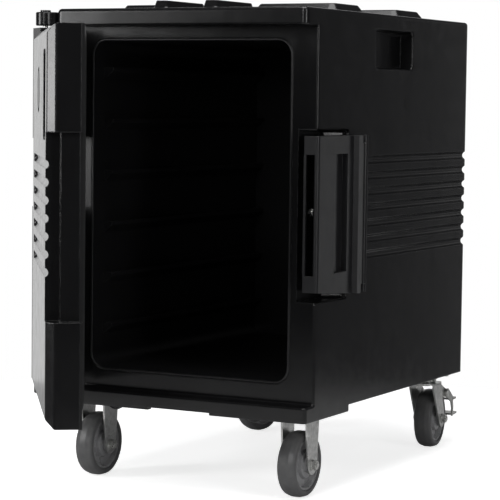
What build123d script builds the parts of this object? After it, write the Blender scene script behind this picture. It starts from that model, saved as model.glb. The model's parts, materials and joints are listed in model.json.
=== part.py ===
from build123d import *
import os
from math import atan2, degrees, hypot

os.makedirs("parts", exist_ok=True)

# An insulated food carrier: a double-walled box on four casters, with a door hinged at its left edge and
# a latch round its right front corner. Everything is drawn in the body's frame: X to the right, Y to the
# back, Z up, with the zero point on the floor under the middle of the body. The door and the latch are
# drawn shut, and each caster is drawn about its own mounting plate; save() sets them in place.

# Driving dimensions, in millimetres.
BODY_WIDTH = 430.0
BACK_Y = 315.0
FRAME_Y = -274.0
BROW_Y = -315.0
SILL_Y = -302.0
SKIRT_Z = 120.0
UNDERSIDE_Z = 131.0
SILL_TOP_Z = 144.0
BROW_Z = 704.0
TOP_Z = 730.0
SHELL_WALL = 8.0
LINER_WALL = 4.0

MOUTH_WIDTH = 340.0
MOUTH_BOTTOM_Z = 176.0
MOUTH_TOP_Z = 682.0
MOUTH_CORNER = 22.0
CAVITY_BACK_Y = 270.0
RAIL_REACH = 15.0
RAIL_HEIGHT = 12.0
RAIL_COUNT = 6
RAIL_PITCH = 80.0
FIRST_RAIL_Z = 236.0

GROOVE_TOP_Z = 504.0
GROOVE_PITCH = 24.4
GROOVE_COUNT = 7
GROOVE_RADIUS = 6.5
GROOVE_DEPTH = 4.5
GROOVE_FRONT_Y = -95.0

HAND_HOLD_LENGTH = 145.0
HAND_HOLD_BOTTOM_Z = 645.0
HAND_HOLD_TOP_Z = 705.0
HAND_HOLD_DEPTH = 22.0

HINGE_X = -238.0
HINGE_Y = -309.0
PIN_RADIUS = 4.0
RUNNING_CLEARANCE = 0.06
LUG_RADIUS = 15.0
KNUCKLE_RADIUS = 19.0
LUG_SPANS = ((133.0, 154.0), (428.0, 528.0), (704.0, 725.0))
KNUCKLE_SPANS = ((157.0, 425.0), (531.0, 700.0))

DOOR_LEFT_X = -205.0
DOOR_RIGHT_X = 212.0
DOOR_BOTTOM_Z = 147.0
DOOR_TOP_Z = 693.5
DOOR_OUTER_Y = -329.0
DOOR_INNER_Y = -279.0
DOOR_BEVEL_DEPTH = 12.0
DOOR_BEVEL_WIDTH = 12.5
DOOR_WALL = 6.0
PANEL_THICKNESS = 4.0
PLUG_DEPTH = 6.0
DOOR_OPEN_DEGREES = 53.7

NOTCH_X = 184.0
NOTCH_FLOOR_Y = -309.0
NOTCH_LIP_X = 200.0
NOTCH_BOTTOM_Z = 292.0
NOTCH_TOP_Z = 548.0

POCKET_X = 184.0
POCKET_BOTTOM_Z = 297.0
POCKET_TOP_Z = 550.0
POCKET_BACK_Y = -168.0

LATCH_PIN_X = 221.0
LATCH_PIN_Y = -121.0
LATCH_PIN_RADIUS = 2.0
LATCH_BARREL_RADIUS = 5.0
LATCH_BOTTOM_Z = 303.0
LATCH_TOP_Z = 543.0
LATCH_AJAR_DEGREES = 8.0

WHEEL_RADIUS = 50.0
TYRE_WIDTH = 30.0
AXLE_RADIUS = 4.0
BUSH_RADIUS = 6.0
FORK_GAP = 38.0
FORK_SHEET = 3.0
PLATE_X = 58.0
PLATE_Y = 95.0
PLATE_SHEET = 2.5
BOLT_SPACING_X = 40.0
BOLT_SPACING_Y = 75.0
SWIVEL_OFFSET = 32.0
FRONT_CASTER_X = 177.0
FRONT_CASTER_Y = -242.0
REAR_CASTER_X = 172.0
REAR_CASTER_Y = 250.0
SWIVEL_DEGREES = {"rl": -12.0, "rr": 6.0}

# The part's own zero point is on the floor under the middle of the whole object, with its door open.
ORIGIN_SHIFT_X = 9.7
ORIGIN_SHIFT_Y = 154.1


def turned_about(x, y, angle):
    """A turn about the upright line through x, y."""
    return Location((x, y, 0)) * Location((0, 0, 0), (0, 0, angle)) * Location((-x, -y, 0))


AS_DRAWN = Location()
DOOR_POSE = turned_about(HINGE_X, HINGE_Y, -DOOR_OPEN_DEGREES)
LATCH_POSE = turned_about(LATCH_PIN_X, LATCH_PIN_Y, LATCH_AJAR_DEGREES)
OBJECT_FRAME = Location((ORIGIN_SHIFT_X, ORIGIN_SHIFT_Y, 0))
written_boxes = []


def save(builder, node, pose=AS_DRAWN):
    """Set a finished piece in the object's frame, label it and write its STEP file."""
    piece = builder.part.moved(OBJECT_FRAME * pose)
    piece.label = node
    export_step(piece, f"parts/{node}.step")
    written_boxes.append(piece.bounding_box())


# ---------------------------------------------------------------------------------------- carrier body

HALF_WIDTH = BODY_WIDTH / 2
MOUTH_HEIGHT = MOUTH_TOP_Z - MOUTH_BOTTOM_Z
MOUTH_MIDDLE_Z = (MOUTH_TOP_Z + MOUTH_BOTTOM_Z) / 2
GROOVE_HEIGHTS = [GROOVE_TOP_Z - GROOVE_PITCH * i for i in range(GROOVE_COUNT)]
RAIL_HEIGHTS = [FIRST_RAIL_Z + RAIL_PITCH * i for i in range(RAIL_COUNT)]
CASTER_PLACES = (
    (-FRONT_CASTER_X, FRONT_CASTER_Y),
    (FRONT_CASTER_X, FRONT_CASTER_Y),
    (-REAR_CASTER_X, REAR_CASTER_Y),
    (REAR_CASTER_X, REAR_CASTER_Y),
)
SCREW_HEIGHTS = (335.0, 393.0, 451.0, 509.0)
LATCH_SCREW_Y = -147.0
POCKET_SCREW_Y = -226.0
POCKET_SCREW_Z = 428.0


def cut_latch_pocket(grow):
    """Cut the latch pocket, open at the front and the right, with its walls moved out by grow."""
    open_x = HALF_WIDTH + 1
    with BuildSketch(Plane.XY.offset(POCKET_BOTTOM_Z - grow)) as profile:
        with BuildLine():
            Polyline(
                (POCKET_X - grow, FRAME_Y - 1),
                (open_x, FRAME_Y - 1),
                (open_x, POCKET_BACK_Y + grow),
                (POCKET_X + 22, POCKET_BACK_Y + grow),
                (POCKET_X - grow, POCKET_BACK_Y - 22 + grow),
                close=True,
            )
        make_face()
    extrude(profile.sketch, amount=POCKET_TOP_Z - POCKET_BOTTOM_Z + 2 * grow, mode=Mode.SUBTRACT)


def cut_hand_holds(grow):
    """Cut both side hand-holds, with their walls moved out by grow, from the open builder."""
    middle_z = (HAND_HOLD_BOTTOM_Z + HAND_HOLD_TOP_Z) / 2
    height = HAND_HOLD_TOP_Z - HAND_HOLD_BOTTOM_Z
    for side in (-1, 1):
        face = Plane(origin=(side * HALF_WIDTH, 0, middle_z), x_dir=(0, 1, 0), z_dir=(-side, 0, 0))
        with BuildSketch(face) as profile:
            RectangleRounded(HAND_HOLD_LENGTH + 2 * grow, height + 2 * grow, 9)
        extrude(profile.sketch, amount=HAND_HOLD_DEPTH + grow, taper=4, mode=Mode.SUBTRACT)


def mouth_block(grow, front_y, back_y, mode):
    """A block along Y with the cavity's rounded section, its walls moved out by grow."""
    section = Plane(origin=(0, back_y, MOUTH_MIDDLE_Z), x_dir=(1, 0, 0), z_dir=(0, -1, 0))
    with BuildSketch(section) as profile:
        RectangleRounded(MOUTH_WIDTH + 2 * grow, MOUTH_HEIGHT + 2 * grow, MOUTH_CORNER + grow)
    extrude(profile.sketch, amount=back_y - front_y, mode=mode)


def insert_holes(radius, depth, mode):
    """Upright cylinders above the underside, four over each caster plate."""
    for place in CASTER_PLACES:
        with BuildSketch(Plane.XY.offset(UNDERSIDE_Z)) as profile:
            with Locations(place):
                with GridLocations(BOLT_SPACING_X, BOLT_SPACING_Y, 2, 2):
                    Circle(radius)
        extrude(profile.sketch, amount=depth, mode=mode)


def edges_within(builder, reach, middle):
    """The builder's edges whose centres lie within reach of middle along each axis; 0 means anywhere."""
    return builder.edges().filter_by(
        lambda edge: all(
            allowed == 0 or abs(centre - target) <= allowed
            for centre, target, allowed in zip(tuple(edge.center()), middle, reach)
        )
    )


def is_on_side(edge):
    """Whether an edge's middle lies on one of the body's two side faces."""
    return abs(abs(edge.center().X) - HALF_WIDTH) < 0.1


def is_groove_rim(edge):
    """Whether an edge lies in the plane of a side face or the back, or on a rear corner's round."""
    points = [edge.position_at(share) for share in (0.02, 0.25, 0.5, 0.75, 0.98)]
    corner_x = HALF_WIDTH - REAR_CORNER
    corner_y = BACK_Y - REAR_CORNER
    on_side = all(abs(abs(p.X) - HALF_WIDTH) < 0.05 for p in points)
    on_back = all(abs(p.Y - BACK_Y) < 0.05 for p in points)
    on_corner = all(abs(hypot(abs(p.X) - corner_x, p.Y - corner_y) - REAR_CORNER) < 0.05 for p in points)
    return on_side or on_back or on_corner


INSERT_RADIUS = 7.0
BEAD_REACH = 3.4
BEAD_HEIGHT = 2.0
INSERT_LENGTH = 11.0
SKIRT_BACK_Y = -147.0
SKIRT_FRONT_WALL = 12.0
SKIRT_SIDE_WALL = 7.0
REAR_CORNER = 14.0
TOP_ROUND = 6.0
PAD_HEIGHT = 12.0

with BuildPart() as outer_shell:
    # Main box, from the underside to the top.
    with BuildSketch(Plane.XY.offset(UNDERSIDE_Z)):
        with Locations((0, (FRAME_Y + BACK_Y) / 2)):
            Rectangle(BODY_WIDTH, BACK_Y - FRAME_Y)
    extrude(amount=TOP_Z - UNDERSIDE_Z)
    upright = outer_shell.edges().filter_by(Axis.Z).group_by(Axis.Y)
    fillet(upright[-1], REAR_CORNER)
    fillet(upright[0], 4)

    # Brow over the door, sill under it.
    BROW_BACK_Y = FRAME_Y + 20
    with BuildSketch(Plane.XY.offset(BROW_Z)):
        with Locations((0, (BROW_Y + BROW_BACK_Y) / 2)):
            RectangleRounded(BODY_WIDTH, BROW_BACK_Y - BROW_Y, 9)
    extrude(amount=TOP_Z - BROW_Z)
    with BuildSketch(Plane.XY.offset(UNDERSIDE_Z)):
        with Locations((0, (SILL_Y + BROW_BACK_Y) / 2)):
            RectangleRounded(BODY_WIDTH, BROW_BACK_Y - SILL_Y, 6)
    extrude(amount=SILL_TOP_Z - UNDERSIDE_Z)
    top_rim = outer_shell.faces().sort_by(Axis.Z)[-1].outer_wire().edges()
    fillet(top_rim, TOP_ROUND)

    # Skirt that hides the front caster plates, stepped up in the middle of its front edge.
    with BuildSketch(Plane.XY.offset(SKIRT_Z)):
        with Locations((0, (SILL_Y + SKIRT_BACK_Y) / 2)):
            RectangleRounded(BODY_WIDTH, SKIRT_BACK_Y - SILL_Y, 6)
        with Locations((0, (SILL_Y + SKIRT_FRONT_WALL + SKIRT_BACK_Y + 20) / 2)):
            Rectangle(
                BODY_WIDTH - 2 * SKIRT_SIDE_WALL,
                SKIRT_BACK_Y + 20 - SILL_Y - SKIRT_FRONT_WALL,
                mode=Mode.SUBTRACT,
            )
    extrude(amount=UNDERSIDE_Z - SKIRT_Z)
    with BuildSketch(Plane.XY.offset(SKIRT_Z)):
        with Locations((0, SILL_Y)):
            Rectangle(108, 60)
    extrude(amount=4, mode=Mode.SUBTRACT)

    # Two domed feet behind the skirt's front edge.
    with Locations((-121, SILL_Y + 20, UNDERSIDE_Z - 3), (121, SILL_Y + 20, UNDERSIDE_Z - 3)):
        Sphere(15)

    # Stacking pads on the top: four ramped pads and four short rails between them.
    with BuildSketch(Plane.XY.offset(TOP_Z)):
        with GridLocations(240, 232, 2, 2):
            RectangleRounded(150, 108, 18)
    extrude(amount=PAD_HEIGHT, taper=40)
    with BuildSketch(Plane.XY.offset(TOP_Z)):
        with Locations((0, -233), (0, 233)):
            with GridLocations(85, 0, 2, 1):
                RectangleRounded(26, 122, 6)
    extrude(amount=PAD_HEIGHT, taper=18)

    # Rounded edges: the pads and their feet, then the hand-holds, the pocket, the brow, the sill and the skirt.
    raised_edges = edges_within(outer_shell, (0, 0, 0.1), (0, 0, TOP_Z + PAD_HEIGHT))
    fillet(raised_edges.filter_by(lambda edge: abs(edge.center().X) > 60), 4)
    raised_edges = edges_within(outer_shell, (60, 0, 0.1), (0, 0, TOP_Z + PAD_HEIGHT))
    fillet(raised_edges, 1.8)
    fillet(edges_within(outer_shell, (200, 200, 0.1), (0, 0, TOP_Z)), 4)
    cut_hand_holds(0)
    fillet(edges_within(outer_shell, (0, 80, 50), (0, 0, 675)).filter_by(is_on_side), 3)
    cut_latch_pocket(0)
    fillet(edges_within(outer_shell, (20, 62, 130), (205, -222, 423)), 4)
    brow_edges = edges_within(outer_shell, (216, 45, 0.3), (0, -295, BROW_Z))
    fillet(brow_edges.filter_by(lambda edge: edge.center().Y < -300), 3)
    fillet(edges_within(outer_shell, (216, 45, 0.3), (0, -295, SILL_TOP_Z)), 3)
    skirt_edges = edges_within(outer_shell, (0, 0, 0.1), (0, 0, SKIRT_Z))
    fillet(skirt_edges.filter_by(lambda edge: abs(edge.center().X) > 208.5), 2)

    # Seven grooves round the sides and the back, with rounded rims.
    track_x = HALF_WIDTH + GROOVE_RADIUS - GROOVE_DEPTH
    track_back_y = BACK_Y + GROOVE_RADIUS - GROOVE_DEPTH
    for groove_z in GROOVE_HEIGHTS:
        with BuildLine(Plane.XY.offset(groove_z)) as groove_track:
            FilletPolyline(
                (track_x, GROOVE_FRONT_Y),
                (track_x, track_back_y),
                (-track_x, track_back_y),
                (-track_x, GROOVE_FRONT_Y),
                radius=REAR_CORNER + GROOVE_RADIUS - GROOVE_DEPTH,
            )
        with BuildSketch(Plane(origin=(track_x, GROOVE_FRONT_Y, groove_z), x_dir=(1, 0, 0), z_dir=(0, 1, 0))):
            Circle(GROOVE_RADIUS)
        sweep(path=groove_track.line, mode=Mode.SUBTRACT)
        with Locations((track_x, GROOVE_FRONT_Y, groove_z), (-track_x, GROOVE_FRONT_Y, groove_z)):
            Sphere(GROOVE_RADIUS, mode=Mode.SUBTRACT)
    groove_middle_z = (GROOVE_HEIGHTS[0] + GROOVE_HEIGHTS[-1]) / 2
    groove_edges = edges_within(outer_shell, (0, 0, 90), (0, 0, groove_middle_z)).filter_by(is_groove_rim)
    fillet(groove_edges.filter_by(lambda edge: edge.center().Y > GROOVE_FRONT_Y - 8), 2.5)

with BuildPart() as body_filling:
    # The space between the shell's walls, before the cavity is taken out of it.
    with BuildSketch(Plane.XY.offset(UNDERSIDE_Z + SHELL_WALL)):
        with Locations((0, (FRAME_Y + BACK_Y) / 2)):
            Rectangle(BODY_WIDTH - 2 * SHELL_WALL, BACK_Y - FRAME_Y - 2 * SHELL_WALL)
    extrude(amount=TOP_Z - UNDERSIDE_Z - 2 * SHELL_WALL)
    fillet(body_filling.edges().filter_by(Axis.Z).group_by(Axis.Y)[-1], REAR_CORNER - SHELL_WALL)
    cut_hand_holds(SHELL_WALL)
    cut_latch_pocket(SHELL_WALL)

with BuildPart() as body_foam:
    add(body_filling.part)
    mouth_block(LINER_WALL, FRAME_Y - 1, CAVITY_BACK_Y + LINER_WALL, Mode.SUBTRACT)
    insert_holes(INSERT_RADIUS, INSERT_LENGTH, Mode.SUBTRACT)
save(body_foam, "body_foam")

with BuildPart(mode=Mode.PRIVATE) as hinge_rod:
    with BuildSketch(Plane.XY.offset(LUG_SPANS[0][0])):
        with Locations((HINGE_X, HINGE_Y)):
            Circle(PIN_RADIUS)
    extrude(amount=LUG_SPANS[-1][1] - LUG_SPANS[0][0])
save(hinge_rod, "hinge_pin")

with BuildPart() as hinge_lugs:
    # Three round eyes at the left front corner, each on an arm let into the front of the body.
    for bottom_z, top_z in LUG_SPANS:
        with BuildSketch(Plane.XY.offset(bottom_z)):
            with Locations((HINGE_X, HINGE_Y)):
                Circle(LUG_RADIUS)
            with Locations((-HALF_WIDTH - 2, FRAME_Y - 6)):
                Rectangle(18, 10)
            make_hull()
        extrude(amount=top_z - bottom_z)
    fillet(hinge_lugs.edges().filter_by(Axis.Z, reverse=True), 2)
    add(outer_shell.part, mode=Mode.SUBTRACT)
    add(hinge_rod.part, mode=Mode.SUBTRACT)
save(hinge_lugs, "hinge_lugs")

SCREW_RADIUS = 2.5
with BuildPart() as latch_screws:
    # Four pan-head screws through the latch bracket into the shell's wall.
    for screw_z in SCREW_HEIGHTS:
        with BuildSketch(Plane(origin=(HALF_WIDTH + 0.5, LATCH_SCREW_Y, screw_z), z_dir=(1, 0, 0))):
            Circle(4.5)
        extrude(amount=2)
        with BuildSketch(Plane(origin=(HALF_WIDTH + 0.5, LATCH_SCREW_Y, screw_z), z_dir=(-1, 0, 0))):
            Circle(SCREW_RADIUS)
        extrude(amount=SHELL_WALL - 1)
save(latch_screws, "latch_screws")

with BuildPart() as pocket_screw:
    with BuildSketch(Plane(origin=(POCKET_X, POCKET_SCREW_Y, POCKET_SCREW_Z), z_dir=(1, 0, 0))):
        Circle(6)
    extrude(amount=3.5)
    fillet(pocket_screw.faces().sort_by(Axis.X)[-1].edges(), 1.5)
    with BuildSketch(Plane(origin=(POCKET_X, POCKET_SCREW_Y, POCKET_SCREW_Z), z_dir=(-1, 0, 0))):
        Circle(SCREW_RADIUS)
    extrude(amount=SHELL_WALL - 2)
save(pocket_screw, "pocket_screw")

with outer_shell:
    add(body_filling.part, mode=Mode.SUBTRACT)
    mouth_block(LINER_WALL, FRAME_Y - 1, CAVITY_BACK_Y, Mode.SUBTRACT)
    insert_holes(INSERT_RADIUS, INSERT_LENGTH, Mode.SUBTRACT)
    add(latch_screws.part, mode=Mode.SUBTRACT)
    add(pocket_screw.part, mode=Mode.SUBTRACT)
save(outer_shell, "outer_shell")

with BuildPart() as cavity_liner:
    # A deep tub, open at the front, with a round bead proud of the body's face all round its mouth.
    mouth_block(LINER_WALL, FRAME_Y, CAVITY_BACK_Y + LINER_WALL, Mode.ADD)
    mouth_block(BEAD_REACH, FRAME_Y - BEAD_HEIGHT, FRAME_Y, Mode.ADD)
    fillet(cavity_liner.faces().sort_by(Axis.Y)[0].outer_wire().edges(), 1.7)
    mouth_block(0, FRAME_Y - 5, CAVITY_BACK_Y, Mode.SUBTRACT)
    fillet(cavity_liner.faces().sort_by(Axis.Y)[0].inner_wires()[0].edges(), 1.2)
save(cavity_liner, "cavity_liner")

with BuildPart() as pan_rails:
    # Level ledges along both sides of the cavity, each wedge-shaped underneath.
    rail_length = CAVITY_BACK_Y - FRAME_Y - 30
    for side in (-1, 1):
        wall_x = side * MOUTH_WIDTH / 2
        for rail_z in RAIL_HEIGHTS:
            with BuildSketch(Plane(origin=(0, CAVITY_BACK_Y, rail_z), x_dir=(1, 0, 0), z_dir=(0, -1, 0))):
                with BuildLine():
                    Polyline(
                        (wall_x, RAIL_HEIGHT / 2),
                        (wall_x - side * RAIL_REACH, RAIL_HEIGHT / 2),
                        (wall_x - side * RAIL_REACH, 0),
                        (wall_x, -RAIL_HEIGHT),
                        close=True,
                    )
                make_face()
            extrude(amount=rail_length)
save(pan_rails, "pan_rails")

with BuildPart() as caster_inserts:
    insert_holes(INSERT_RADIUS, INSERT_LENGTH, Mode.ADD)
    insert_holes(AXLE_RADIUS, INSERT_LENGTH, Mode.SUBTRACT)
save(caster_inserts, "caster_inserts")

with BuildPart() as caster_bolts:
    bolt_seat_z = UNDERSIDE_Z - PLATE_SHEET
    for place in CASTER_PLACES:
        with BuildSketch(Plane.XY.offset(bolt_seat_z)):
            with Locations(place):
                with GridLocations(BOLT_SPACING_X, BOLT_SPACING_Y, 2, 2):
                    RegularPolygon(6.5, 6, major_radius=False)
        extrude(amount=-5)
    insert_holes(AXLE_RADIUS, INSERT_LENGTH, Mode.ADD)
    for place in CASTER_PLACES:
        with BuildSketch(Plane.XY.offset(bolt_seat_z)):
            with Locations(place):
                with GridLocations(BOLT_SPACING_X, BOLT_SPACING_Y, 2, 2):
                    Circle(AXLE_RADIUS)
        extrude(amount=PLATE_SHEET)
save(caster_bolts, "caster_bolts")

with BuildPart() as hinge_pin_caps:
    # A plug over each end of the hinge rod.
    for seat_z, height in ((LUG_SPANS[-1][1], 3), (LUG_SPANS[0][0], -3)):
        with BuildSketch(Plane.XY.offset(seat_z)):
            with Locations((HINGE_X, HINGE_Y)):
                Circle(8)
        extrude(amount=height)
save(hinge_pin_caps, "hinge_pin_caps")

# ------------------------------------------------------------------------------------------------ door

DOOR_WIDTH = DOOR_RIGHT_X - DOOR_LEFT_X
DOOR_MIDDLE_X = (DOOR_RIGHT_X + DOOR_LEFT_X) / 2
DOOR_HEIGHT = DOOR_TOP_Z - DOOR_BOTTOM_Z
DOOR_MIDDLE_Z = (DOOR_TOP_Z + DOOR_BOTTOM_Z) / 2
BEVEL_START_Y = DOOR_OUTER_Y + DOOR_BEVEL_DEPTH
BEVEL_ANGLE = degrees(atan2(DOOR_BEVEL_WIDTH, DOOR_BEVEL_DEPTH))
PANEL_FRONT_Y = DOOR_INNER_Y - PANEL_THICKNESS
DOOR_SKIN = 8.0
VENT_X = -25.0
VENT_Z = 605.0
VENT_RADIUS = 28.0
VENT_DEPTH = 5.0
GRIP_X = 142.0
GRIP_Z = 598.0


def door_face(y, toward_front):
    """A plane across the door at y, facing the front or the back, with its zero in the door's middle."""
    normal = -1 if toward_front else 1
    return Plane(origin=(DOOR_MIDDLE_X, y, DOOR_MIDDLE_Z), x_dir=(-normal, 0, 0), z_dir=(0, normal, 0))


def door_block(inset, back_y, bevel_depth):
    """The door's bevelled block, with its edges drawn in by inset."""
    straight = back_y - (BEVEL_START_Y + inset / 3)
    with BuildSketch(door_face(back_y, True)) as profile:
        Rectangle(DOOR_WIDTH - 2 * inset, DOOR_HEIGHT - 2 * inset)
    extrude(profile.sketch, amount=straight)
    with BuildSketch(door_face(back_y - straight, True)) as profile:
        Rectangle(DOOR_WIDTH - 2 * inset, DOOR_HEIGHT - 2 * inset)
    extrude(profile.sketch, amount=bevel_depth, taper=BEVEL_ANGLE)


def cut_box(low, high):
    """Cut a box between two corners from the open builder."""
    with BuildSketch(Plane.XY.offset(low[2])) as profile:
        with Locations(((low[0] + high[0]) / 2, (low[1] + high[1]) / 2)):
            Rectangle(high[0] - low[0], high[1] - low[1])
    extrude(profile.sketch, amount=high[2] - low[2], mode=Mode.SUBTRACT)


def cut_notch(grow):
    """Cut the latch notch from the door's free edge, with its walls moved out by grow."""
    low_z = NOTCH_BOTTOM_Z - grow
    high_z = NOTCH_TOP_Z + grow
    cut_box((NOTCH_X - grow, DOOR_OUTER_Y - 1, low_z), (DOOR_RIGHT_X + 1, NOTCH_FLOOR_Y + grow, high_z))
    cut_box((NOTCH_LIP_X - grow, NOTCH_FLOOR_Y - 1, low_z), (DOOR_RIGHT_X + 1, DOOR_INNER_Y + 1, high_z))


def cut_grip(grow):
    """Cut the pull recess in the door's outer face."""
    face = Plane(origin=(GRIP_X, DOOR_OUTER_Y, GRIP_Z), x_dir=(1, 0, 0), z_dir=(0, 1, 0))
    with BuildSketch(face) as profile:
        RectangleRounded(62 + 2 * grow, 124 + 2 * grow, 10)
    extrude(profile.sketch, amount=14 + grow, taper=4, mode=Mode.SUBTRACT)


with BuildPart() as door_filling:
    # The space inside the door's skin, in front of the inner panel.
    door_block(DOOR_WALL, PANEL_FRONT_Y, DOOR_BEVEL_DEPTH + DOOR_WALL / 3 - DOOR_SKIN - DOOR_WALL / 3)
    cut_notch(DOOR_WALL)
    cut_grip(DOOR_WALL)
    with BuildSketch(Plane(origin=(VENT_X, DOOR_OUTER_Y, VENT_Z), z_dir=(0, 1, 0))):
        Circle(VENT_RADIUS + 5 + DOOR_WALL)
    extrude(amount=VENT_DEPTH + DOOR_SKIN, mode=Mode.SUBTRACT)

with BuildPart() as door_shell:
    door_block(0, PANEL_FRONT_Y, DOOR_BEVEL_DEPTH)
    fillet(door_shell.faces().sort_by(Axis.Y)[0].edges(), 5)
    fillet(edges_within(door_shell, (0, 1, 0), (0, BEVEL_START_Y, 0)), 4)
    for bottom_z, top_z in KNUCKLE_SPANS:
        with BuildSketch(Plane.XY.offset(bottom_z)):
            with Locations((HINGE_X, HINGE_Y)):
                Circle(KNUCKLE_RADIUS)
            with Locations((DOOR_LEFT_X + 2, HINGE_Y + 5)):
                Rectangle(12, 30)
            make_hull()
        extrude(amount=top_z - bottom_z)
    for groove_z in GROOVE_HEIGHTS:
        groove_y = DOOR_OUTER_Y - GROOVE_RADIUS + GROOVE_DEPTH
        with BuildSketch(Plane(origin=(-150, groove_y, groove_z), z_dir=(1, 0, 0))):
            Circle(GROOVE_RADIUS)
        extrude(amount=DOOR_RIGHT_X + 150, mode=Mode.SUBTRACT)
        with Locations((-150, groove_y, groove_z)):
            Sphere(GROOVE_RADIUS, mode=Mode.SUBTRACT)
    cut_notch(0)
    cut_grip(0)
    with BuildSketch(Plane(origin=(VENT_X, DOOR_OUTER_Y, VENT_Z), z_dir=(0, 1, 0))):
        Circle(VENT_RADIUS + 5)
    extrude(amount=VENT_DEPTH, mode=Mode.SUBTRACT)
    add(door_filling.part, mode=Mode.SUBTRACT)
    with BuildSketch(Plane.XY.offset(DOOR_BOTTOM_Z - 1)):
        with Locations((HINGE_X, HINGE_Y)):
            Circle(PIN_RADIUS + RUNNING_CLEARANCE)
    extrude(amount=DOOR_HEIGHT + 20, mode=Mode.SUBTRACT)
    with BuildSketch(Plane(origin=(VENT_X, DOOR_OUTER_Y + VENT_DEPTH, VENT_Z), z_dir=(0, 1, 0))):
        Circle(8)
    extrude(amount=DOOR_SKIN, mode=Mode.SUBTRACT)
save(door_shell, "door_shell", DOOR_POSE)

PLUG_WIDTH = MOUTH_WIDTH - 24
PLUG_HEIGHT = MOUTH_HEIGHT - 20
PLUG_OFFSET = (-DOOR_MIDDLE_X, MOUTH_MIDDLE_Z - DOOR_MIDDLE_Z)

with BuildPart() as door_inner_panel:
    # A flat sheet with a raised plug that enters the cavity's mouth.
    with BuildSketch(door_face(PANEL_FRONT_Y, False)):
        Rectangle(DOOR_WIDTH, DOOR_HEIGHT)
    extrude(amount=PANEL_THICKNESS)
    with BuildSketch(Plane(origin=(0, DOOR_INNER_Y, MOUTH_MIDDLE_Z), x_dir=(-1, 0, 0), z_dir=(0, 1, 0))):
        RectangleRounded(PLUG_WIDTH, PLUG_HEIGHT, 18)
    extrude(amount=PLUG_DEPTH)
    fillet(door_inner_panel.faces().sort_by(Axis.Y)[-1].edges(), 3)
    with BuildSketch(Plane(origin=(0, PANEL_FRONT_Y, MOUTH_MIDDLE_Z), x_dir=(-1, 0, 0), z_dir=(0, 1, 0))):
        RectangleRounded(PLUG_WIDTH - 12, PLUG_HEIGHT - 12, 12)
    extrude(amount=PLUG_DEPTH, mode=Mode.SUBTRACT)
    cut_notch(0)
save(door_inner_panel, "door_inner_panel", DOOR_POSE)

with BuildPart() as door_foam:
    add(door_filling.part)
    with BuildSketch(Plane(origin=(0, PANEL_FRONT_Y, MOUTH_MIDDLE_Z), x_dir=(-1, 0, 0), z_dir=(0, 1, 0))):
        RectangleRounded(PLUG_WIDTH - 12, PLUG_HEIGHT - 12, 12)
    extrude(amount=PLUG_DEPTH)
save(door_foam, "door_foam", DOOR_POSE)

GASKET_THICKNESS = 4.5
with BuildPart() as door_gasket:
    with BuildSketch(Plane(origin=(0, DOOR_INNER_Y, MOUTH_MIDDLE_Z), x_dir=(-1, 0, 0), z_dir=(0, 1, 0))):
        RectangleRounded(MOUTH_WIDTH + 21, MOUTH_HEIGHT + 21, MOUTH_CORNER + 8)
        RectangleRounded(MOUTH_WIDTH + 9, MOUTH_HEIGHT + 9, MOUTH_CORNER + 2, mode=Mode.SUBTRACT)
    extrude(amount=GASKET_THICKNESS)
save(door_gasket, "door_gasket", DOOR_POSE)

with BuildPart() as vent_cap:
    # A round cap sunk in the outer face, with its stem through the skin.
    with BuildSketch(Plane(origin=(VENT_X, DOOR_OUTER_Y + VENT_DEPTH, VENT_Z), z_dir=(0, -1, 0))):
        Circle(VENT_RADIUS)
    extrude(amount=VENT_DEPTH)
    fillet(vent_cap.faces().sort_by(Axis.Y)[0].edges(), 2.5)
    with BuildSketch(Plane(origin=(VENT_X, DOOR_OUTER_Y + VENT_DEPTH, VENT_Z), z_dir=(0, 1, 0))):
        Circle(8)
    extrude(amount=DOOR_SKIN)
save(vent_cap, "vent_cap", DOOR_POSE)

# ----------------------------------------------------------------------------------------------- latch

BRACKET_SHEET = 2.5
LUG_HEIGHT = 12.0
LATCH_INNER_X = 202.0
LATCH_BAR_X = 203.0
LATCH_CORNER_X = 210.5
LATCH_SIDE_X = 220.0
LATCH_FRONT_Y = -317.0
LATCH_BACK_Y = -172.0
LATCH_HOOK_X = 187.5
LATCH_WINDOW_BOTTOM_Z = 340.0
LATCH_WINDOW_TOP_Z = 516.0
GRIP_BACK_Y = -251.0
REAR_WINDOW_BACK_Y = -200.0
HOOK_STRIP = 3.5

with BuildPart() as latch_bracket:
    # A sheet on the side wall under the latch's flange, with an eye at each end for the pin.
    with BuildSketch(Plane.XY.offset(LATCH_BOTTOM_Z)):
        with Locations((HALF_WIDTH + BRACKET_SHEET / 2, (POCKET_BACK_Y + 4 + LATCH_PIN_Y) / 2)):
            Rectangle(BRACKET_SHEET, LATCH_PIN_Y - POCKET_BACK_Y - 4)
    extrude(amount=LATCH_TOP_Z - LATCH_BOTTOM_Z)
    for bottom_z in (LATCH_BOTTOM_Z, LATCH_TOP_Z - LUG_HEIGHT):
        with BuildSketch(Plane.XY.offset(bottom_z)):
            with Locations((LATCH_PIN_X, LATCH_PIN_Y)):
                Circle(LATCH_BARREL_RADIUS)
            with Locations((HALF_WIDTH + 3, LATCH_PIN_Y - 3)):
                Rectangle(6, 6)
        extrude(amount=LUG_HEIGHT)
    cut_box(
        (HALF_WIDTH - 1, LATCH_PIN_Y - 6, LATCH_BOTTOM_Z + LUG_HEIGHT),
        (LATCH_PIN_X + LATCH_BARREL_RADIUS + 1, LATCH_PIN_Y + 6, LATCH_TOP_Z - LUG_HEIGHT),
    )
    with BuildSketch(Plane.XY.offset(LATCH_BOTTOM_Z)):
        with Locations((LATCH_PIN_X, LATCH_PIN_Y)):
            Circle(LATCH_PIN_RADIUS)
    extrude(amount=LATCH_TOP_Z - LATCH_BOTTOM_Z, mode=Mode.SUBTRACT)
    add(latch_screws.part, mode=Mode.SUBTRACT)
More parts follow.
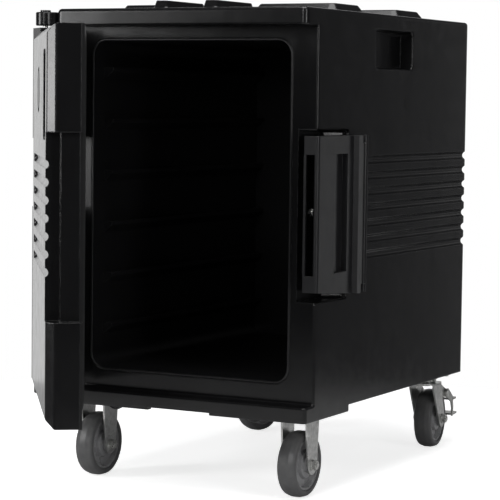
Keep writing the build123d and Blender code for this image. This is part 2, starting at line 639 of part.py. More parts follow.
save(latch_bracket, "latch_bracket")

with BuildPart() as latch_pin:
    with BuildSketch(Plane.XY.offset(LATCH_BOTTOM_Z)):
        with Locations((LATCH_PIN_X, LATCH_PIN_Y)):
            Circle(LATCH_PIN_RADIUS)
    extrude(amount=LATCH_TOP_Z - LATCH_BOTTOM_Z)
save(latch_pin, "latch_pin")

with BuildPart() as latch_handle:
    # Top and bottom blocks that wrap the corner, with the bottom one sloping up to the hook.
    for bottom_z, top_z in ((LATCH_BOTTOM_Z, LATCH_WINDOW_BOTTOM_Z), (LATCH_WINDOW_TOP_Z, LATCH_TOP_Z)):
        with BuildSketch(Plane.XY.offset(bottom_z)):
            with BuildLine():
                FilletPolyline(
                    (LATCH_INNER_X, LATCH_FRONT_Y + 6),
                    (LATCH_HOOK_X, LATCH_FRONT_Y + 6),
                    (LATCH_HOOK_X, LATCH_FRONT_Y),
                    (LATCH_CORNER_X, LATCH_FRONT_Y),
                    (LATCH_SIDE_X, LATCH_BACK_Y),
                    (LATCH_INNER_X + 10, LATCH_BACK_Y),
                    (LATCH_INNER_X, LATCH_BACK_Y - 10),
                    radius=(1, 1, 5, 0.5, 0.5),
                )
                Line((LATCH_INNER_X, LATCH_BACK_Y - 10), (LATCH_INNER_X, LATCH_FRONT_Y + 6))
            make_face()
        extrude(amount=top_z - bottom_z)
    # Grip bar: the rounded corner itself, between two windows.
    with BuildSketch(Plane.XY.offset(LATCH_WINDOW_BOTTOM_Z)):
        with BuildLine():
            FilletPolyline(
                (LATCH_BAR_X, GRIP_BACK_Y),
                (LATCH_BAR_X, LATCH_FRONT_Y),
                (LATCH_CORNER_X, LATCH_FRONT_Y),
                (LATCH_CORNER_X + 4.2, GRIP_BACK_Y),
                radius=(2, 5),
            )
            Line((LATCH_CORNER_X + 4.2, GRIP_BACK_Y), (LATCH_BAR_X, GRIP_BACK_Y))
        make_face()
    extrude(amount=LATCH_WINDOW_TOP_Z - LATCH_WINDOW_BOTTOM_Z)
    # Hook strip on the front face, beyond the front window.
    with BuildSketch(Plane.XY.offset(LATCH_WINDOW_BOTTOM_Z)):
        with Locations((LATCH_HOOK_X + HOOK_STRIP / 2, LATCH_FRONT_Y + 3)):
            Rectangle(HOOK_STRIP, 6)
    extrude(amount=LATCH_WINDOW_TOP_Z - LATCH_WINDOW_BOTTOM_Z)
    # Back frame beside the rear window, the flange step and the web to the barrel.
    with BuildSketch(Plane.XY.offset(LATCH_WINDOW_BOTTOM_Z)):
        with BuildLine():
            Polyline(
                (LATCH_INNER_X, REAR_WINDOW_BACK_Y),
                (LATCH_SIDE_X - 1.5, REAR_WINDOW_BACK_Y),
                (LATCH_SIDE_X, LATCH_BACK_Y),
                (LATCH_INNER_X + 10, LATCH_BACK_Y),
                (LATCH_INNER_X, LATCH_BACK_Y - 10),
                close=True,
            )
        make_face()
    extrude(amount=LATCH_WINDOW_TOP_Z - LATCH_WINDOW_BOTTOM_Z)
    with BuildSketch(Plane.XY.offset(LATCH_BOTTOM_Z)):
        with BuildLine():
            Polyline(
                (LATCH_SIDE_X - 0.5, LATCH_BACK_Y - 3),
                (LATCH_SIDE_X + 7, LATCH_BACK_Y + 1),
                (LATCH_SIDE_X + 7, LATCH_BACK_Y + 19),
                (LATCH_SIDE_X + 4, LATCH_BACK_Y + 23),
                (LATCH_SIDE_X + 2.5, LATCH_BACK_Y + 24),
                (LATCH_SIDE_X + 2.5, LATCH_PIN_Y - 1),
                (LATCH_SIDE_X - 0.5, LATCH_PIN_Y - 1),
                close=True,
            )
        make_face()
    extrude(amount=LATCH_TOP_Z - LATCH_BOTTOM_Z)
    # Panel at the back of the rear window.
    with BuildSketch(Plane.XY.offset(LATCH_WINDOW_BOTTOM_Z)):
        with BuildLine():
            Polyline(
                (LATCH_BAR_X + 2, GRIP_BACK_Y - 3),
                (LATCH_BAR_X + 5, GRIP_BACK_Y - 3),
                (LATCH_BAR_X + 7, REAR_WINDOW_BACK_Y + 3),
                (LATCH_BAR_X + 4, REAR_WINDOW_BACK_Y + 3),
                close=True,
            )
        make_face()
    extrude(amount=LATCH_WINDOW_TOP_Z - LATCH_WINDOW_BOTTOM_Z)
    # The bottom edge slopes up to the front, and the front corners of the windows are rounded.
    with BuildSketch(Plane(origin=(LATCH_HOOK_X - 1, 0, 0), x_dir=(0, 1, 0), z_dir=(1, 0, 0))):
        Polygon(
            (LATCH_BACK_Y + 20, LATCH_BOTTOM_Z - 1),
            (LATCH_BACK_Y + 20, LATCH_BOTTOM_Z),
            (LATCH_FRONT_Y - 1, LATCH_BOTTOM_Z + 13),
            (LATCH_FRONT_Y - 1, LATCH_BOTTOM_Z - 1),
            align=None,
        )
    extrude(amount=60, mode=Mode.SUBTRACT)
    barrel_bottom_z = LATCH_BOTTOM_Z + LUG_HEIGHT + 0.5
    barrel_top_z = LATCH_TOP_Z - LUG_HEIGHT - 0.5
    for bottom_z, top_z in ((LATCH_BOTTOM_Z - 1, barrel_bottom_z), (barrel_top_z, LATCH_TOP_Z + 1)):
        cut_box((HALF_WIDTH, -136, bottom_z), (LATCH_PIN_X + 10, LATCH_PIN_Y + 9, top_z))
    with BuildSketch(Plane.XY.offset(barrel_bottom_z)):
        with Locations((LATCH_PIN_X, LATCH_PIN_Y)):
            Circle(LATCH_BARREL_RADIUS)
    extrude(amount=barrel_top_z - barrel_bottom_z)
    with BuildSketch(Plane.XY.offset(LATCH_BOTTOM_Z)):
        with Locations((LATCH_PIN_X, LATCH_PIN_Y)):
            Circle(LATCH_PIN_RADIUS + RUNNING_CLEARANCE)
    extrude(amount=LATCH_TOP_Z - LATCH_BOTTOM_Z, mode=Mode.SUBTRACT)
save(latch_handle, "latch_handle", LATCH_POSE)

# --------------------------------------------------------------------------------------------- casters

AXLE_Z = WHEEL_RADIUS
LEG_X = FORK_GAP / 2
CORE_RADIUS = 39.0
HUB_RADIUS = 13.0
HUB_HALF = LEG_X - 1
HEX_ACROSS_FLATS = 13.0
RIVET_RADIUS = 3.0
CROWN_TOP_Z = 116.0
BALL_RADIUS = 3.0
RIVET_Y = SWIVEL_OFFSET + 17
RIVET_Z = AXLE_Z + 43
CHEEK_SHEET = 2.5
TAB_SHEET = 3.0
AXLE_SPAN = LEG_X + FORK_SHEET
RIVET_SPAN = AXLE_SPAN + 0.3 + CHEEK_SHEET


def across(x):
    """An upright plane square to the axle at x, with its first axis to the back."""
    return Plane(origin=(x, 0, 0), x_dir=(0, 1, 0), z_dir=(1, 0, 0))


def round_bar(radius, start_x, length, y, z, mode=Mode.ADD):
    """A cylinder along X."""
    with BuildSketch(across(start_x)) as profile:
        with Locations((y, z)):
            Circle(radius)
    extrude(profile.sketch, amount=length, mode=mode)


def top_plate_sheet():
    """The caster's mounting plate with its four bolt holes."""
    with BuildSketch(Plane.XY.offset(UNDERSIDE_Z - PLATE_SHEET)) as profile:
        RectangleRounded(PLATE_X, PLATE_Y, 8)
        with GridLocations(BOLT_SPACING_X, BOLT_SPACING_Y, 2, 2):
            Circle(AXLE_RADIUS, mode=Mode.SUBTRACT)
    extrude(profile.sketch, amount=PLATE_SHEET)


def leg(side, axle_y, top_z, front_y, back_y):
    """One flat side of a fork, from its top edge down to the axle."""
    start_x = LEG_X if side > 0 else -AXLE_SPAN
    with BuildSketch(across(start_x)) as profile:
        with Locations((axle_y, AXLE_Z)):
            Circle(15)
        with Locations(((front_y + back_y) / 2, top_z - 5)):
            Rectangle(back_y - front_y, 10)
        make_hull()
    extrude(profile.sketch, amount=FORK_SHEET)


with BuildPart() as rigid_fork:
    top_plate_sheet()
    for side in (-1, 1):
        leg(side, 0, UNDERSIDE_Z - PLATE_SHEET, -21, 21)
    round_bar(AXLE_RADIUS, -AXLE_SPAN, 2 * AXLE_SPAN, 0, AXLE_Z, Mode.SUBTRACT)

with BuildPart() as swivel_top_plate:
    # Mounting plate with the upper ball race under it.
    top_plate_sheet()
    race_z = CROWN_TOP_Z + 2 * BALL_RADIUS + 0.3
    with BuildSketch(Plane.XY.offset(race_z)):
        Circle(21)
    extrude(amount=UNDERSIDE_Z - PLATE_SHEET - race_z)
    with BuildSketch(Plane.XY.offset(race_z)):
        Circle(6)
    extrude(amount=UNDERSIDE_Z - race_z, mode=Mode.SUBTRACT)

with BuildPart() as kingpin:
    # Rivet through the plate and the crown, with its head under the crown.
    head_top_z = CROWN_TOP_Z - FORK_SHEET - 0.3
    with BuildSketch(Plane.XY.offset(head_top_z)):
        Circle(6)
    extrude(amount=UNDERSIDE_Z - head_top_z)
    with BuildSketch(Plane.XY.offset(head_top_z)):
        Circle(10)
    extrude(amount=-3)

with BuildPart() as race_balls:
    with Locations((0, 0, CROWN_TOP_Z + BALL_RADIUS)):
        with PolarLocations(16, 12):
            Sphere(BALL_RADIUS)

with BuildPart() as swivel_fork:
    # Round crown with two legs raked back to the axle and two ears for the brake's rivet.
    with BuildSketch(Plane.XY.offset(CROWN_TOP_Z - FORK_SHEET)):
        Circle(28)
        Rectangle(2 * AXLE_SPAN, 44)
        Circle(6 + RUNNING_CLEARANCE, mode=Mode.SUBTRACT)
    extrude(amount=FORK_SHEET)
    for side in (-1, 1):
        leg(side, SWIVEL_OFFSET, CROWN_TOP_Z, -20, 22)
        start_x = LEG_X if side > 0 else -AXLE_SPAN
        with BuildSketch(across(start_x)):
            with Locations((RIVET_Y, RIVET_Z)):
                Circle(7)
            with Locations((14, CROWN_TOP_Z - 15)):
                Rectangle(14, 20)
            make_hull()
        extrude(amount=FORK_SHEET)
    round_bar(AXLE_RADIUS, -AXLE_SPAN, 2 * AXLE_SPAN, SWIVEL_OFFSET, AXLE_Z, Mode.SUBTRACT)
    round_bar(RIVET_RADIUS, -AXLE_SPAN, 2 * AXLE_SPAN, RIVET_Y, RIVET_Z, Mode.SUBTRACT)

with BuildPart() as brake_rivets:
    # One short rivet through each leg, with a head inside and outside.
    for start_x, outer_head_x, inner_head_x in (
        (LEG_X, RIVET_SPAN, LEG_X - 1),
        (-RIVET_SPAN, -RIVET_SPAN - 2, -LEG_X),
    ):
        round_bar(RIVET_RADIUS, start_x, RIVET_SPAN - LEG_X, RIVET_Y, RIVET_Z)
        round_bar(5, outer_head_x, 2, RIVET_Y, RIVET_Z)
        round_bar(5, inner_head_x, 1, RIVET_Y, RIVET_Z)

with BuildPart() as brake_pedal:
    # A yoke with a cheek outside each leg and two tabs across behind the wheel, press and release.
    for start_x in (AXLE_SPAN + 0.3, -RIVET_SPAN):
        with BuildSketch(across(start_x)):
            with Locations((RIVET_Y, RIVET_Z)):
                Circle(7)
            with BuildLine():
                Polyline(
                    (RIVET_Y, RIVET_Z + 7),
                    (RIVET_Y + 11, RIVET_Z + 6),
                    (RIVET_Y + 39, RIVET_Z - 11),
                    (RIVET_Y + 43, RIVET_Z - 30),
                    (RIVET_Y + 41, RIVET_Z - 46),
                    (RIVET_Y + 36, RIVET_Z - 46),
                    (RIVET_Y + 36, RIVET_Z - 32),
                    (RIVET_Y + 30, RIVET_Z - 20),
                    (RIVET_Y, RIVET_Z - 7),
                    close=True,
                )
            make_face()
        extrude(amount=CHEEK_SHEET)
    for bottom_z, back_y in ((RIVET_Z - 18, RIVET_Y + 63), (RIVET_Z - 44.5, RIVET_Y + 67)):
        with BuildSketch(Plane.XY.offset(bottom_z)):
            with Locations((0, (RIVET_Y + 36 + back_y) / 2)):
                RectangleRounded(2 * RIVET_SPAN, back_y - RIVET_Y - 36, 4)
        extrude(amount=TAB_SHEET)
    for start_x in (AXLE_SPAN, -RIVET_SPAN - 1):
        hole_length = CHEEK_SHEET + 1.3
        round_bar(RIVET_RADIUS + RUNNING_CLEARANCE, start_x, hole_length, RIVET_Y, RIVET_Z, Mode.SUBTRACT)


def axle_bolt(axle_y):
    """Hex-head bolt along X with its head on the left."""
    with BuildPart() as piece:
        round_bar(AXLE_RADIUS, -AXLE_SPAN, 2 * AXLE_SPAN + 9, axle_y, AXLE_Z)
        with BuildSketch(across(-AXLE_SPAN)):
            with Locations((axle_y, AXLE_Z)):
                RegularPolygon(HEX_ACROSS_FLATS / 2, 6, major_radius=False)
        extrude(amount=-5.5)
    return piece


def axle_nut(axle_y):
    """Flanged lock nut on the bolt's right end."""
    with BuildPart() as piece:
        round_bar(8.5, AXLE_SPAN, 1.5, axle_y, AXLE_Z)
        with BuildSketch(across(AXLE_SPAN)):
            with Locations((axle_y, AXLE_Z)):
                RegularPolygon(HEX_ACROSS_FLATS / 2, 6, major_radius=False)
        extrude(amount=7.5)
        round_bar(AXLE_RADIUS, AXLE_SPAN, 10, axle_y, AXLE_Z, Mode.SUBTRACT)
    return piece


def axle_bush(axle_y):
    """Spacer tube between the fork's legs that the wheel turns on."""
    with BuildPart() as piece:
        round_bar(BUSH_RADIUS, -LEG_X, FORK_GAP, axle_y, AXLE_Z)
        round_bar(AXLE_RADIUS, -LEG_X, FORK_GAP, axle_y, AXLE_Z, Mode.SUBTRACT)
    return piece


def wheel_core(axle_y):
    """Hub, dished web and rim, turned about the axle."""
    bore = BUSH_RADIUS + RUNNING_CLEARANCE
    with BuildPart() as piece:
        with BuildSketch(Plane(origin=(0, axle_y, AXLE_Z), x_dir=(1, 0, 0), z_dir=(0, -1, 0))):
            for side in (-1, 1):
                with BuildLine():
                    Polyline(
                        (0, bore),
                        (side * HUB_HALF, bore),
                        (side * HUB_HALF, HUB_RADIUS - 1),
                        (side * (HUB_HALF - 1), HUB_RADIUS),
                        (side * (HUB_HALF - 4), HUB_RADIUS),
                        (side * (HUB_HALF - 5), 20),
                        (side * 8, 22),
                        (side * 7, 33),
                        (side * 13, 36),
                        (side * 13, CORE_RADIUS),
                        (0, CORE_RADIUS),
                        close=True,
                    )
                make_face()
        revolve(axis=Axis((0, axle_y, AXLE_Z), (1, 0, 0)))
    return piece


def wheel_tyre(axle_y):
    """Round-shouldered tread ring, turned about the axle."""
    half = TYRE_WIDTH / 2
    with BuildPart() as piece:
        with BuildSketch(Plane(origin=(0, axle_y, AXLE_Z), x_dir=(1, 0, 0), z_dir=(0, -1, 0))):
            with BuildLine():
                FilletPolyline(
                    (half, CORE_RADIUS),
                    (half, WHEEL_RADIUS - 3),
                    (5, WHEEL_RADIUS),
                    (-5, WHEEL_RADIUS),
                    (-half, WHEEL_RADIUS - 3),
                    (-half, CORE_RADIUS),
                    radius=(2, 5, 6, 6, 5, 2),
                    close=True,
                )
            make_face()
        revolve(axis=Axis((0, axle_y, AXLE_Z), (1, 0, 0)))
    return piece


def save_wheel(prefix, axle_y, pose):
    """Write the pieces that every caster has on its axle."""
    save(wheel_core(axle_y), f"{prefix}_wheel_core", pose)
    save(wheel_tyre(axle_y), f"{prefix}_tyre", pose)
    save(axle_bush(axle_y), f"{prefix}_axle_bush", pose)
    save(axle_bolt(axle_y), f"{prefix}_axle_bolt", pose)
    save(axle_nut(axle_y), f"{prefix}_axle_nut", pose)


for prefix, place in (("fl", CASTER_PLACES[0]), ("fr", CASTER_PLACES[1])):
    front_pose = Location((place[0], place[1], 0))
    save(rigid_fork, f"{prefix}_fork", front_pose)
    save_wheel(prefix, 0, front_pose)

for prefix, place in (("rl", CASTER_PLACES[2]), ("rr", CASTER_PLACES[3])):
    plate_pose = Location((place[0], place[1], 0))
    swivel_pose = plate_pose * Location((0, 0, 0), (0, 0, SWIVEL_DEGREES[prefix]))
    save(swivel_top_plate, f"{prefix}_top_plate", plate_pose)
    save(kingpin, f"{prefix}_kingpin", plate_pose)
    save(race_balls, f"{prefix}_race_balls", swivel_pose)
    save(swivel_fork, f"{prefix}_fork", swivel_pose)
    save(brake_rivets, f"{prefix}_brake_rivets", swivel_pose)
    save(brake_pedal, f"{prefix}_brake_pedal", swivel_pose)
    save_wheel(prefix, SWIVEL_OFFSET, swivel_pose)

low = [min(getattr(box.min, axis) for box in written_boxes) for axis in "XYZ"]
high = [max(getattr(box.max, axis) for box in written_boxes) for axis in "XYZ"]
print("whole object, low corner:", [round(v, 1) for v in low])
print("whole object, high corner:", [round(v, 1) for v in high])
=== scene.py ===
import json
import math

import bpy
from mathutils import Matrix, Vector


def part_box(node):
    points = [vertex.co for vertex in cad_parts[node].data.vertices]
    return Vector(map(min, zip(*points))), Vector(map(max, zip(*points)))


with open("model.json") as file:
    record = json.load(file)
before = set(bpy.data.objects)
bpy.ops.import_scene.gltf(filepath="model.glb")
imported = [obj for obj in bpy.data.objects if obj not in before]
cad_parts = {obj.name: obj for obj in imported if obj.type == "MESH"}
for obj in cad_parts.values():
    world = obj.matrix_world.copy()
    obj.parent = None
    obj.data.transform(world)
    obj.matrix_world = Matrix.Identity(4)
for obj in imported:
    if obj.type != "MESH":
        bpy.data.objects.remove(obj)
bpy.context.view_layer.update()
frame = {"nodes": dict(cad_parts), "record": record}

# The looks of an insulated food carrier. Metres, in the CAD model's frame: X right, Y back, Z up.

shell_low, shell_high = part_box("outer_shell")
shell_middle = (shell_low + shell_high) / 2

# ---------------------------------------------------------------------------------------------- camera

CAMERA_PLACE = Vector((1.5360, -2.8228, 0.5946))
CAMERA_YAW = math.radians(27.732)
CAMERA_PITCH = math.radians(4.198)
CAMERA_ROLL = math.radians(-0.736)
LENS = 147.58
SENSOR_WIDTH = 36
FARTHEST_SEEN = 100


def add_camera():
    """The camera at the photograph's viewing angle."""
    data = bpy.data.cameras.new("camera")
    data.lens = LENS
    data.sensor_width = SENSOR_WIDTH
    data.clip_end = FARTHEST_SEEN
    camera = bpy.data.objects.new("camera", data)
    bpy.context.scene.collection.objects.link(camera)
    forward = Vector((
        -math.sin(CAMERA_YAW) * math.cos(CAMERA_PITCH),
        math.cos(CAMERA_YAW) * math.cos(CAMERA_PITCH),
        -math.sin(CAMERA_PITCH),
    ))
    right = Vector((math.cos(CAMERA_YAW), math.sin(CAMERA_YAW), 0))
    down = forward.cross(right)
    rolled_right = right * math.cos(CAMERA_ROLL) + down * math.sin(CAMERA_ROLL)
    rolled_down = down * math.cos(CAMERA_ROLL) - right * math.sin(CAMERA_ROLL)
    turn = Matrix((rolled_right, -rolled_down, -forward)).transposed()
    camera.matrix_world = Matrix.Translation(CAMERA_PLACE) @ turn.to_4x4()
    bpy.context.scene.camera = camera


add_camera()

# ------------------------------------------------------------------------------------- node-tree helpers

# Where the Mix node keeps its colours.
MIX_COLOURS_IN = (6, 7)
MIX_COLOUR_OUT = 2


def new_finish(name, metallic=0.0):
    """A material with one Principled shader: the material, its tree and the shader."""
    material = bpy.data.materials.new(name)
    material.use_nodes = True
    shader = material.node_tree.nodes["Principled BSDF"]
    shader.inputs["Metallic"].default_value = metallic
    return material, material.node_tree, shader


def object_coordinates(tree, stretch=(1, 1, 1)):
    """Coordinates that stay with the piece, stretched along its axes."""
    source = tree.nodes.new("ShaderNodeTexCoord")
    mapping = tree.nodes.new("ShaderNodeMapping")
    mapping.inputs["Scale"].default_value = stretch
    tree.links.new(source.outputs["Object"], mapping.inputs["Vector"])
    return mapping.outputs["Vector"]


def noise(tree, vector, scale, detail=3.0, roughness=0.5):
    """Cloudy noise from 0 to 1."""
    node = tree.nodes.new("ShaderNodeTexNoise")
    node.inputs["Scale"].default_value = scale
    node.inputs["Detail"].default_value = detail
    node.inputs["Roughness"].default_value = roughness
    tree.links.new(vector, node.inputs["Vector"])
    return node.outputs["Fac"]


def remap(tree, value, low, high, to_low, to_high):
    """The value moved from one range to another, held at the ends."""
    node = tree.nodes.new("ShaderNodeMapRange")
    node.inputs["From Min"].default_value = low
    node.inputs["From Max"].default_value = high
    node.inputs["To Min"].default_value = to_low
    node.inputs["To Max"].default_value = to_high
    tree.links.new(value, node.inputs["Value"])
    return node.outputs["Result"]


def combine(tree, operation, first, second):
    """Two values added, multiplied or compared, held between 0 and 1."""
    node = tree.nodes.new("ShaderNodeMath")
    node.operation = operation
    node.use_clamp = True
    for socket, value in zip(node.inputs, (first, second)):
        if isinstance(value, (int, float)):
            socket.default_value = value
        else:
            tree.links.new(value, socket)
    return node.outputs["Value"]


def blend_colours(tree, factor, first, second):
    """The first colour where the factor is 0, the second where it is 1."""
    node = tree.nodes.new("ShaderNodeMix")
    node.data_type = "RGBA"
    tree.links.new(factor, node.inputs["Factor"])
    for socket, value in zip((node.inputs[i] for i in MIX_COLOURS_IN), (first, second)):
        if isinstance(value, tuple):
            socket.default_value = (*value, 1)
        else:
            tree.links.new(value, socket)
    return node.outputs[MIX_COLOUR_OUT]


def bump(tree, height, strength, distance, normal=None):
    """A normal that follows small heights, on top of another normal if one is given."""
    node = tree.nodes.new("ShaderNodeBump")
    node.inputs["Strength"].default_value = strength
    node.inputs["Distance"].default_value = distance
    tree.links.new(height, node.inputs["Height"])
    if normal is not None:
        tree.links.new(normal, node.inputs["Normal"])
    return node.outputs["Normal"]


EDGE_SAMPLES = 4
# The cosine between the true normal and the rounded one where an edge counts as fully rounded.
ROUNDED_COSINE = 0.86


def soft_edges(tree, radius):
    """A normal that rounds the edges of the piece over this radius."""
    node = tree.nodes.new("ShaderNodeBevel")
    node.samples = EDGE_SAMPLES
    node.inputs["Radius"].default_value = radius
    return node.outputs["Normal"]


def edge_mask(tree, rounded):
    """1 on the rounded edges, 0 on the flats."""
    geometry = tree.nodes.new("ShaderNodeNewGeometry")
    compare = tree.nodes.new("ShaderNodeVectorMath")
    compare.operation = "DOT_PRODUCT"
    tree.links.new(rounded, compare.inputs[0])
    tree.links.new(geometry.outputs["Normal"], compare.inputs[1])
    return remap(tree, compare.outputs["Value"], 1.0, ROUNDED_COSINE, 0.0, 1.0)


# --------------------------------------------------------------------------------------------- finishes


def moulded_plastic(name, colour, edge_wear_and_highlight_colour, roughness, waviness, grain, edge):
    """Moulded plastic: faint waves, fine grain, dull patches, and paler scuffed edges; on the wheel plastic
    the pale edges are also a painted highlight.
    """
    material, tree, shader = new_finish(name)
    place = object_coordinates(tree)
    rounded = soft_edges(tree, edge)
    patches = noise(tree, place, 9, 4, 0.6)
    smudges = noise(tree, place, 45, 5, 0.65)
    scuffs = noise(tree, object_coordinates(tree, (1, 1, 0.35)), 160, 4, 0.7)
    edges = edge_mask(tree, rounded)
    # Paler edges: scuff wear, and on the wheel plastic also a painted highlight along the rim edges.
    edge_wear_and_highlight_mask = combine(tree, "MULTIPLY", edges, remap(tree, scuffs, 0.5, 0.7, 0.0, 0.5))
    paler = tuple(c * 1.3 for c in colour)
    tone = blend_colours(tree, remap(tree, patches, 0.35, 0.7, 0.0, 1.0), colour, paler)
    tree.links.new(blend_colours(tree, edge_wear_and_highlight_mask, tone, edge_wear_and_highlight_colour), shader.inputs["Base Color"])
    dull = combine(tree, "ADD", remap(tree, smudges, 0.4, 0.75, roughness, roughness + 0.06), edge_wear_and_highlight_mask)
    tree.links.new(dull, shader.inputs["Roughness"])
    waves = bump(tree, noise(tree, place, 7, 2, 0.4), waviness, 0.002, rounded)
    fine = bump(tree, noise(tree, place, 900, 2, 0.5), grain, 0.0002, waves)
    tree.links.new(fine, shader.inputs["Normal"])
    return material


def zinc_plate(name, colour, roughness):
    """Zinc-plated steel: mottled plating, light drawing marks and dull edges."""
    material, tree, shader = new_finish(name, 1.0)
    place = object_coordinates(tree)
    rounded = soft_edges(tree, 0.0006)
    mottle = noise(tree, place, 120, 4, 0.6)
    marks = noise(tree, object_coordinates(tree, (1, 1, 0.06)), 900, 3, 0.6)
    darker = tuple(c * 0.72 for c in colour)
    tone = blend_colours(tree, remap(tree, mottle, 0.35, 0.7, 0.0, 1.0), colour, darker)
    tree.links.new(tone, shader.inputs["Base Color"])
    tree.links.new(remap(tree, mottle, 0.3, 0.7, roughness, roughness + 0.16), shader.inputs["Roughness"])
    tree.links.new(bump(tree, marks, 0.12, 0.0003, rounded), shader.inputs["Normal"])
    return material


def rubber(name, colour, dust, roughness):
    """Rubber with a dry bloom, fine pores and a little floor dust."""
    material, tree, shader = new_finish(name)
    place = object_coordinates(tree)
    cloud = noise(tree, place, 60, 5, 0.65)
    pores = noise(tree, place, 1600, 2, 0.5)
    tone = blend_colours(tree, remap(tree, cloud, 0.42, 0.72, 0.0, 0.8), colour, dust)
    tree.links.new(tone, shader.inputs["Base Color"])
    tree.links.new(remap(tree, cloud, 0.3, 0.7, roughness, roughness + 0.18), shader.inputs["Roughness"])
    tree.links.new(bump(tree, pores, 0.25, 0.0003, soft_edges(tree, 0.0008)), shader.inputs["Normal"])
    return material


def foam(name):
    """Rigid insulating foam: closed cells in a pale yellow."""
    material, tree, shader = new_finish(name)
    place = object_coordinates(tree)
    cells = noise(tree, place, 700, 3, 0.7)
    tone = blend_colours(tree, remap(tree, cells, 0.35, 0.65, 0.0, 1.0), (0.62, 0.5, 0.26), (0.8, 0.7, 0.45))
    tree.links.new(tone, shader.inputs["Base Color"])
    shader.inputs["Roughness"].default_value = 0.9
    tree.links.new(bump(tree, cells, 0.5, 0.0006), shader.inputs["Normal"])
    return material


FINISHES = {
    "shell_plastic": moulded_plastic(
        "shell_plastic",
        colour=(0.0055, 0.0055, 0.0059),
        edge_wear_and_highlight_colour=(0.035, 0.035, 0.037),
        roughness=0.2,
        waviness=0.25,
        grain=0.08,
        edge=0.002,
    ),
    "liner_plastic": moulded_plastic(
        "liner_plastic",
        colour=(0.0055, 0.0055, 0.006),
        edge_wear_and_highlight_colour=(0.04, 0.04, 0.04),
        roughness=0.34,
        waviness=0.2,
        grain=0.14,
        edge=0.001,
    ),
    "latch_plastic": moulded_plastic(
        "latch_plastic",
        colour=(0.011, 0.011, 0.012),
        edge_wear_and_highlight_colour=(0.06, 0.06, 0.062),
        roughness=0.3,
        waviness=0.1,
        grain=0.2,
        edge=0.001,
    ),
    "foam": foam("foam"),
    "gasket": rubber("gasket", (0.012, 0.012, 0.012), (0.03, 0.03, 0.03), 0.55),
    "zinc": zinc_plate("zinc", (0.64, 0.64, 0.63), 0.24),
    "fastener_steel": zinc_plate("fastener_steel", (0.72, 0.72, 0.7), 0.2),
    "brass_insert": zinc_plate("brass_insert", (0.72, 0.55, 0.26), 0.25),
    "wheel_plastic": moulded_plastic(
        "wheel_plastic",
        colour=(0.24, 0.24, 0.245),
        # Painted highlight along the rim edges, mixed with edge wear: this edge colour is far paler than the
        # wheel.
        edge_wear_and_highlight_colour=(0.62, 0.62, 0.62),
        roughness=0.26,
        waviness=0.1,
        grain=0.15,
        edge=0.001,
    ),
    "tread": rubber("tread", (0.09, 0.09, 0.092), (0.125, 0.125, 0.123), 0.3),
    "pedal_steel": zinc_plate("pedal_steel", (0.62, 0.62, 0.6), 0.3),
}


def finish_cad_nodes():
    """Give each CAD node the finish of its material slot."""
    for row in frame["record"]["subparts"]:
        node = frame["nodes"][row["node"]]
        node.data.materials.clear()
        node.data.materials.append(FINISHES[row["material_slot"]])


finish_cad_nodes()

# ------------------------------------------------------------------------------------------------ stage

FLOOR_RADIUS = 1.15
FLOOR_SIDES = 128
FLOOR_GLOW = 0.75


def add_floor():
    """A round pale floor under the carrier."""
    mesh = bpy.data.meshes.new("floor")
    angles = [math.tau * i / FLOOR_SIDES for i in range(FLOOR_SIDES)]
    ring = [(FLOOR_RADIUS * math.cos(angle), FLOOR_RADIUS * math.sin(angle), 0) for angle in angles]
    mesh.from_pydata(ring, [], [list(range(FLOOR_SIDES))])
    floor = bpy.data.objects.new("floor", mesh)
    bpy.context.scene.collection.objects.link(floor)
    material, tree, shader = new_finish("pale_floor")
    cloud = noise(tree, object_coordinates(tree), 3, 3, 0.5)
    tone = blend_colours(tree, remap(tree, cloud, 0.3, 0.7, 0.0, 1.0), (0.84, 0.84, 0.84), (0.87, 0.87, 0.87))
    tree.links.new(tone, shader.inputs["Base Color"])
    tree.links.new(remap(tree, cloud, 0.3, 0.7, 0.6, 0.75), shader.inputs["Roughness"])
    shader.inputs["Specular IOR Level"].default_value = 0.1
    shader.inputs["Emission Color"].default_value = (1, 1, 1, 1)
    camera_ray = tree.nodes.new("ShaderNodeLightPath").outputs["Is Camera Ray"]
    tree.links.new(remap(tree, camera_ray, 0.0, 1.0, 0.0, FLOOR_GLOW), shader.inputs["Emission Strength"])
    mesh.materials.append(material)


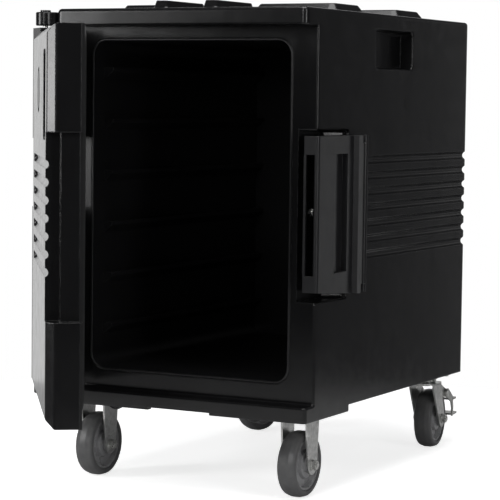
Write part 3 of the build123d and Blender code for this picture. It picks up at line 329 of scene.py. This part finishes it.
# Each light's name, place, width and height, and power. The boxes are small and weak: they are there to be
# seen in the glossy plastic, in the door's slanted edge, in the brow and in the latch.
LIGHTS = [
    ("overhead", (0.2, -0.2, 2.6), (1.6, 1.6), 36),
    ("right_strip", (2.6, -1.2, 1.2), (0.4, 2.0), 16),
    ("front_strip", (0.4, -3.2, 1.6), (0.8, 1.4), 26),
    ("left_box", (-1.6, -1.72, 0.95), (0.5, 1.3), 22),
    ("brow_box", (-1.42, -2.15, 1.19), (0.5, 0.82), 0.9),
    ("latch_box", (1.49, 5.8, 0.6), (0.8, 3.0), 4.5),
]


def add_area_light(name, place, size, power):
    """A soft rectangular light that faces the middle of the shell."""
    data = bpy.data.lights.new(name, "AREA")
    data.shape = "RECTANGLE"
    data.size, data.size_y = size
    data.energy = power
    light = bpy.data.objects.new(name, data)
    bpy.context.scene.collection.objects.link(light)
    light.location = place
    light.visible_camera = False
    light.rotation_euler = (shell_middle - Vector(place)).to_track_quat("-Z", "Y").to_euler()


# The white side of the studio, and where it starts and is full, as cosines from that direction.
WHITE_SIDE = Vector((-0.64, 0.77, 0.0)).normalized()
WHITE_STARTS = 0.84
WHITE_FULL = 0.96
STUDIO_DARK = (0.045, 0.045, 0.047)
STUDIO_WHITE = (1.0, 1.0, 1.0)


def add_world():
    """A studio that the camera sees as white, and glossy surfaces as white only at the back left."""
    world = bpy.data.worlds.new("studio")
    bpy.context.scene.world = world
    world.use_nodes = True
    tree = world.node_tree
    background = tree.nodes["Background"]
    direction = tree.nodes.new("ShaderNodeTexCoord").outputs["Generated"]
    facing = tree.nodes.new("ShaderNodeVectorMath")
    facing.operation = "DOT_PRODUCT"
    facing.inputs[1].default_value = WHITE_SIDE
    tree.links.new(direction, facing.inputs[0])
    glow = remap(tree, facing.outputs["Value"], WHITE_STARTS, WHITE_FULL, 0.0, 1.0)
    light_path = tree.nodes.new("ShaderNodeLightPath")
    seen = combine(tree, "MAXIMUM", glow, light_path.outputs["Is Camera Ray"])
    tree.links.new(blend_colours(tree, seen, STUDIO_DARK, STUDIO_WHITE), background.inputs["Color"])
    background.inputs["Strength"].default_value = 1.0


add_floor()
add_world()
for light in LIGHTS:
    add_area_light(*light)

bpy.context.scene.view_settings.view_transform = "Standard"
